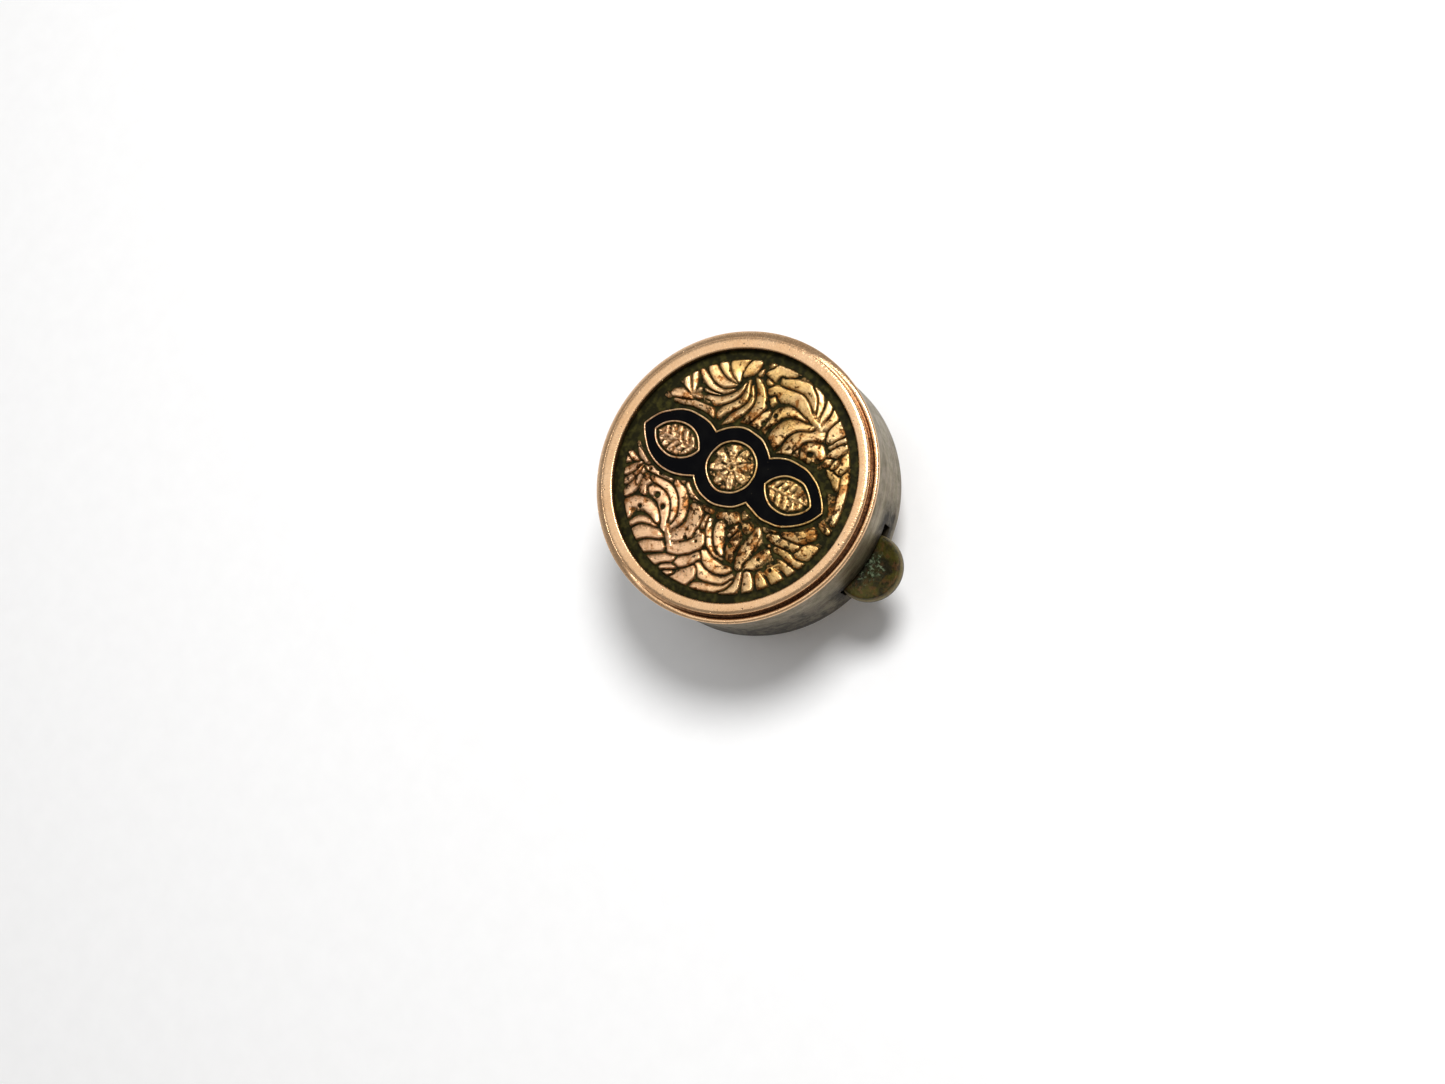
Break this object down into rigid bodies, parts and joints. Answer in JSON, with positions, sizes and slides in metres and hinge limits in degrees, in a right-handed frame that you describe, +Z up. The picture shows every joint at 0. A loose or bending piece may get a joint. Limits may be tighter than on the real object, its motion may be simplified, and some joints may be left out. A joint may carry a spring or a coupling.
{
  "type": "separable sew-on button",
  "caption": "Round gilt button with a struck leafy face in a polished rim, on a deep metal drum with a thumb lever that frees it from a sewn-on shank.",
  "frame": {"origin": "middle of the foot's flat face, on the button's axis", "axes": "+Z up along the button's axis, out of its face; +X towards the thumb lever; +Y along the thread eye"},
  "size_m": [0.0201, 0.018, 0.0096],
  "materials": {
    "rose_gold": "rolled rose gold over brass, worn polish with fine scuffs and small dark pits",
    "struck_gilt": "struck gilt relief with blackened recesses and brown tarnish spots",
    "black_enamel": "glossy black enamel",
    "nickel_silver": "aged nickel silver, brushed round the wall, with green and brown tarnish",
    "aged_brass": "dark olive brass with green corrosion crust",
    "inner_brass": "plain turned brass, dulled",
    "shank_brass": "turned brass, browned with wear at its edges",
    "spring_steel": "blued spring wire",
    "pasteboard": "grey-brown pressed board"
  },
  "bodies": {
    "sewn_boss": {"sewing_boss": "shank_brass"},
    "stud": {"shank_post": "shank_brass", "shank_flange": "shank_brass"},
    "head": {"drum_case": "nickel_silver", "back_plate": "nickel_silver", "plate_rivets": "inner_brass", "socket_collar": "inner_brass", "lever_pivot": "inner_brass", "pivot_washer": "inner_brass", "spring_post": "inner_brass", "spring_peg": "inner_brass", "catch_spring": "spring_steel", "bead_ring": "rose_gold", "bezel_ring": "rose_gold", "face_plate": "struck_gilt", "enamel_inlay": "black_enamel", "packing_disc": "pasteboard", "retaining_ring": "inner_brass"},
    "lever": {"release_lever": "aged_brass", "drive_pin": "inner_brass"}
  },
  "joints": [
    {"name": "shank_swivel", "type": "hinge", "parent": "sewn_boss", "child": "stud", "pos_m": [0, 0, 0.0023], "axis": [0, 0, 1], "continuous": true},
    {"name": "head_lift", "type": "slide", "parent": "stud", "child": "head", "axis": [0, 0, 1], "range_m": [0, 0.005]},
    {"name": "lever_swing", "type": "hinge", "parent": "head", "child": "lever", "pos_m": [0.0059, 0, 0.00537], "axis": [0, 0, 1], "range_deg": [0, 9], "stiffness_Nm_per_rad": 0.02, "springref_deg": -2.86, "deforming": ["catch_spring"]}
  ]
}
